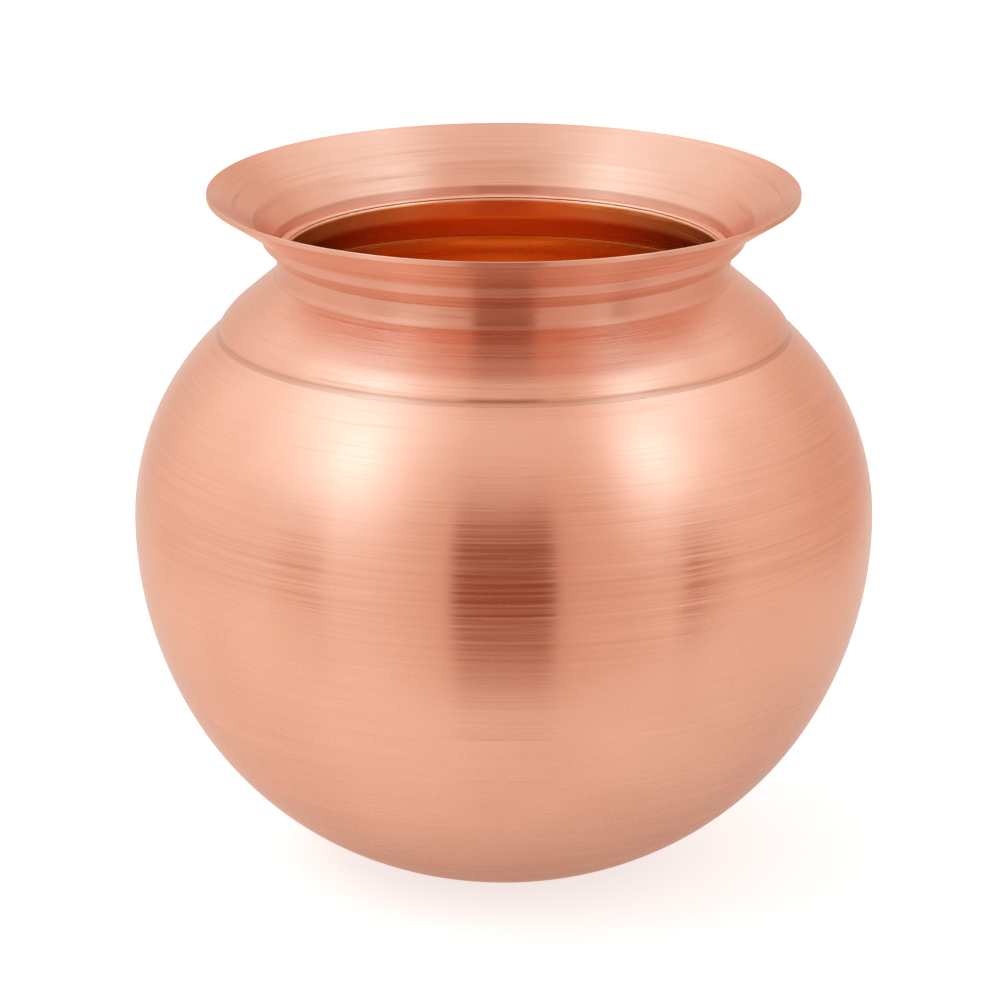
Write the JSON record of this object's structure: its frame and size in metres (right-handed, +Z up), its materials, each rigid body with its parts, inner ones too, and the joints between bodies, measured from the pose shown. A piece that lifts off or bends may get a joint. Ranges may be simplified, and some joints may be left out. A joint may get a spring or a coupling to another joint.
{
  "type": "copper water pot",
  "caption": "Round-bellied brushed copper water pot with a flat base, rolled shoulder, short neck and wide flared mouth.",
  "frame": {"origin": "centre of the flat base, at the level it stands on", "axes": "+Z up along the axis of spinning; the pot is alike in every direction round it"},
  "size_m": [0.15, 0.15, 0.139],
  "materials": {
    "bowl_copper": "spun copper, finely brushed round the axis",
    "shoulder_copper": "spun copper, finely brushed round the axis",
    "collar_copper": "spun copper, finely brushed round the axis",
    "crease_braze_metal": "copper-coloured braze, dressed flush",
    "neck_braze_metal": "copper-coloured braze, left uneven"
  },
  "bodies": {
    "root": {"bowl": "bowl_copper", "shoulder": "shoulder_copper", "collar": "collar_copper", "crease_braze": "crease_braze_metal", "neck_braze": "neck_braze_metal"}
  },
  "joints": []
}
